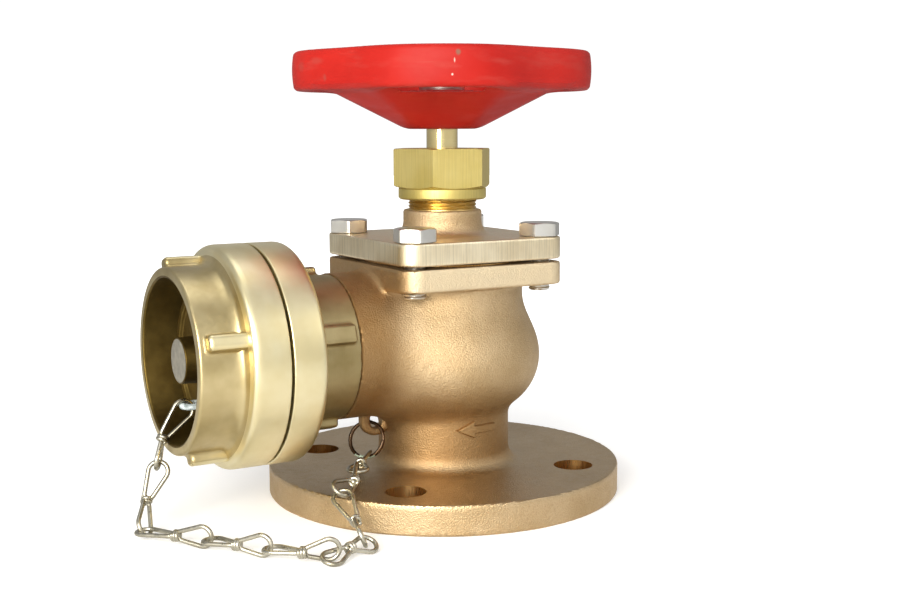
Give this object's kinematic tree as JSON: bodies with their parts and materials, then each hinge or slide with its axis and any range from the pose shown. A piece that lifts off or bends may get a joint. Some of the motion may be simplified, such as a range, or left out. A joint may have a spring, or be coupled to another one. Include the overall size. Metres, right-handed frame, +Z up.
{
  "type": "angle globe valve",
  "caption": "Right-angle bronze globe valve with a square bonnet joint, lobed handwheel, rising stem and a claw coupling shut by a chained blank cap.",
  "frame": {"origin": "centre of the base flange's bottom face, on the stem's axis", "axes": "+Z up along the stem, -X along the outlet towards the blank cap, +Y to the left of the outlet seen from the stem"},
  "size_m": [0.2365, 0.1657, 0.2037],
  "materials": {
    "cast_bronze": "as cast, sand grain",
    "turned_brass": "satin turned",
    "bright_brass": "machined",
    "stainless": "satin",
    "zinc_wire": "plated, dull",
    "brown_wire": "weathered",
    "red_paint": "gloss, scuffed",
    "grey_alloy": "matt",
    "rubber_black": "moulded",
    "fibre_gasket": "pressed sheet",
    "graphite": "braided packing"
  },
  "bodies": {
    "valve": {"valve_body": "cast_bronze", "bonnet": "cast_bronze", "bonnet_gasket": "fibre_gasket", "bonnet_bolts": "stainless", "stem_packing": "graphite", "gland_follower": "bright_brass", "gland_nut": "turned_brass", "outlet_coupling": "turned_brass", "thread_gasket": "fibre_gasket", "coupling_seal": "rubber_black", "cap_disc": "turned_brass", "cap_seal": "rubber_black", "snap_ring": "stainless", "cap_eye": "stainless", "split_ring": "brown_wire", "chain_links": "zinc_wire"},
    "disc": {"valve_disc": "cast_bronze", "disc_retainer": "bright_brass", "seat_washer": "rubber_black", "washer_plate": "bright_brass", "disc_nut": "bright_brass"},
    "spindle": {"stem": "bright_brass", "handwheel": "red_paint", "wheel_washer": "stainless", "wheel_nut": "stainless"},
    "cap": {"cap_ring": "turned_brass"}
  },
  "joints": [
    {"name": "disc_lift", "type": "slide", "parent": "valve", "child": "disc", "axis": [0, 0, 1], "range_m": [0, 0.01401]},
    {"name": "stem_turn", "type": "hinge", "parent": "disc", "child": "spindle", "pos_m": [0, 0, 0.06], "axis": [0, 0, 1], "range_deg": [0, 1260]},
    {"name": "cap_twist", "type": "hinge", "parent": "valve", "child": "cap", "pos_m": [-0.0972, 0, 0.072], "axis": [-1, 0, 0], "range_deg": [0, 95]}
  ],
  "couplings": [
    {"joint": "disc_lift", "follows": "stem_turn", "m_per_rad": 0.00063662}
  ]
}
